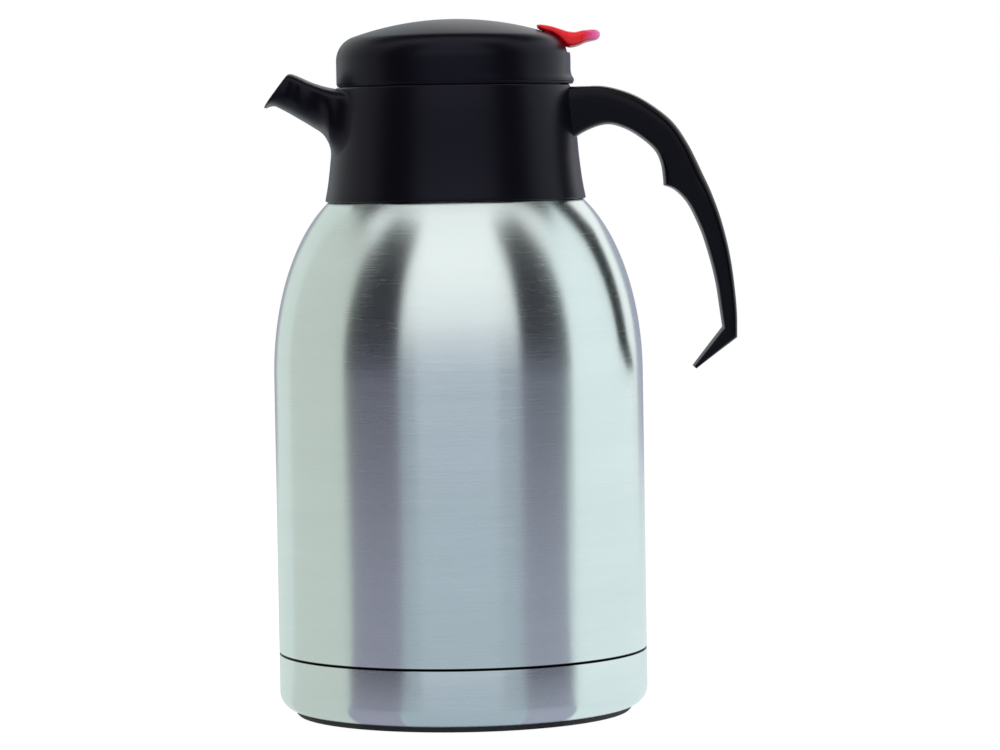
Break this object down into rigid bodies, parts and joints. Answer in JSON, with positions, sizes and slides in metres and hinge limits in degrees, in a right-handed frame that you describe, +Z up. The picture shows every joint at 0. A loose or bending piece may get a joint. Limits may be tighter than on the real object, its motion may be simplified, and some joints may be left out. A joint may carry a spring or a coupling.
{
  "type": "thermal carafe",
  "caption": "Double-walled steel vacuum carafe with a side handle, a pouring spout, a hinged lid and a thumb lever that opens the pour valve.",
  "frame": {"origin": "centre of the base pad's flat underside", "axes": "+Z up along the body, +X towards the handle, -X towards the spout"},
  "size_m": [0.18, 0.1416, 0.2658],
  "materials": {
    "brushed_body": "stainless, brushed round the body",
    "plain_steel": "plain drawn stainless",
    "matte_black": "fine matte moulded",
    "gloss_black": "smooth semi-gloss moulded",
    "red_plastic": "smooth bright red moulded",
    "natural_plastic": "natural moulded",
    "silicone": "translucent grey silicone",
    "black_rubber": "matte rubber"
  },
  "bodies": {
    "carafe": {"outer_shell": "brushed_body", "inner_flask": "plain_steel", "bottom_plate": "plain_steel", "getter": "plain_steel", "vacuum_seal": "plain_steel", "base_cup": "brushed_body", "base_pad": "black_rubber", "collar": "matte_black", "spout": "matte_black", "collar_gasket": "silicone", "handle": "gloss_black", "handle_screws": "plain_steel", "hinge_pin": "plain_steel"},
    "lid": {"lid_dome": "matte_black", "lid_deck": "matte_black", "lid_screws": "plain_steel", "stopper_cup": "matte_black", "stopper_seal": "silicone", "stem_oring": "black_rubber", "lever_pin": "plain_steel", "valve_spring": "plain_steel"},
    "lever": {"thumb_lever": "red_plastic"},
    "valve": {"valve_stem": "natural_plastic", "valve_disc": "silicone", "stem_clip": "plain_steel"}
  },
  "joints": [
    {"name": "lid_flip", "type": "hinge", "parent": "carafe", "child": "lid", "pos_m": [0.049, 0, 0.23539], "axis": [0, 1, 0], "range_deg": [0, 62]},
    {"name": "lever_press", "type": "hinge", "parent": "lid", "child": "lever", "pos_m": [0.0364, 0, 0.25389], "axis": [0, 1, 0], "range_deg": [0, 10], "stiffness_Nm_per_rad": 0.47, "springref_deg": -4.58},
    {"name": "valve_lift", "type": "slide", "parent": "lid", "child": "valve", "axis": [0, 0, 1], "range_m": [0, 0.00639], "deforming": ["valve_spring"]}
  ],
  "couplings": [
    {"joint": "lever_press", "follows": "valve_lift", "rad_per_m": 27.3}
  ]
}
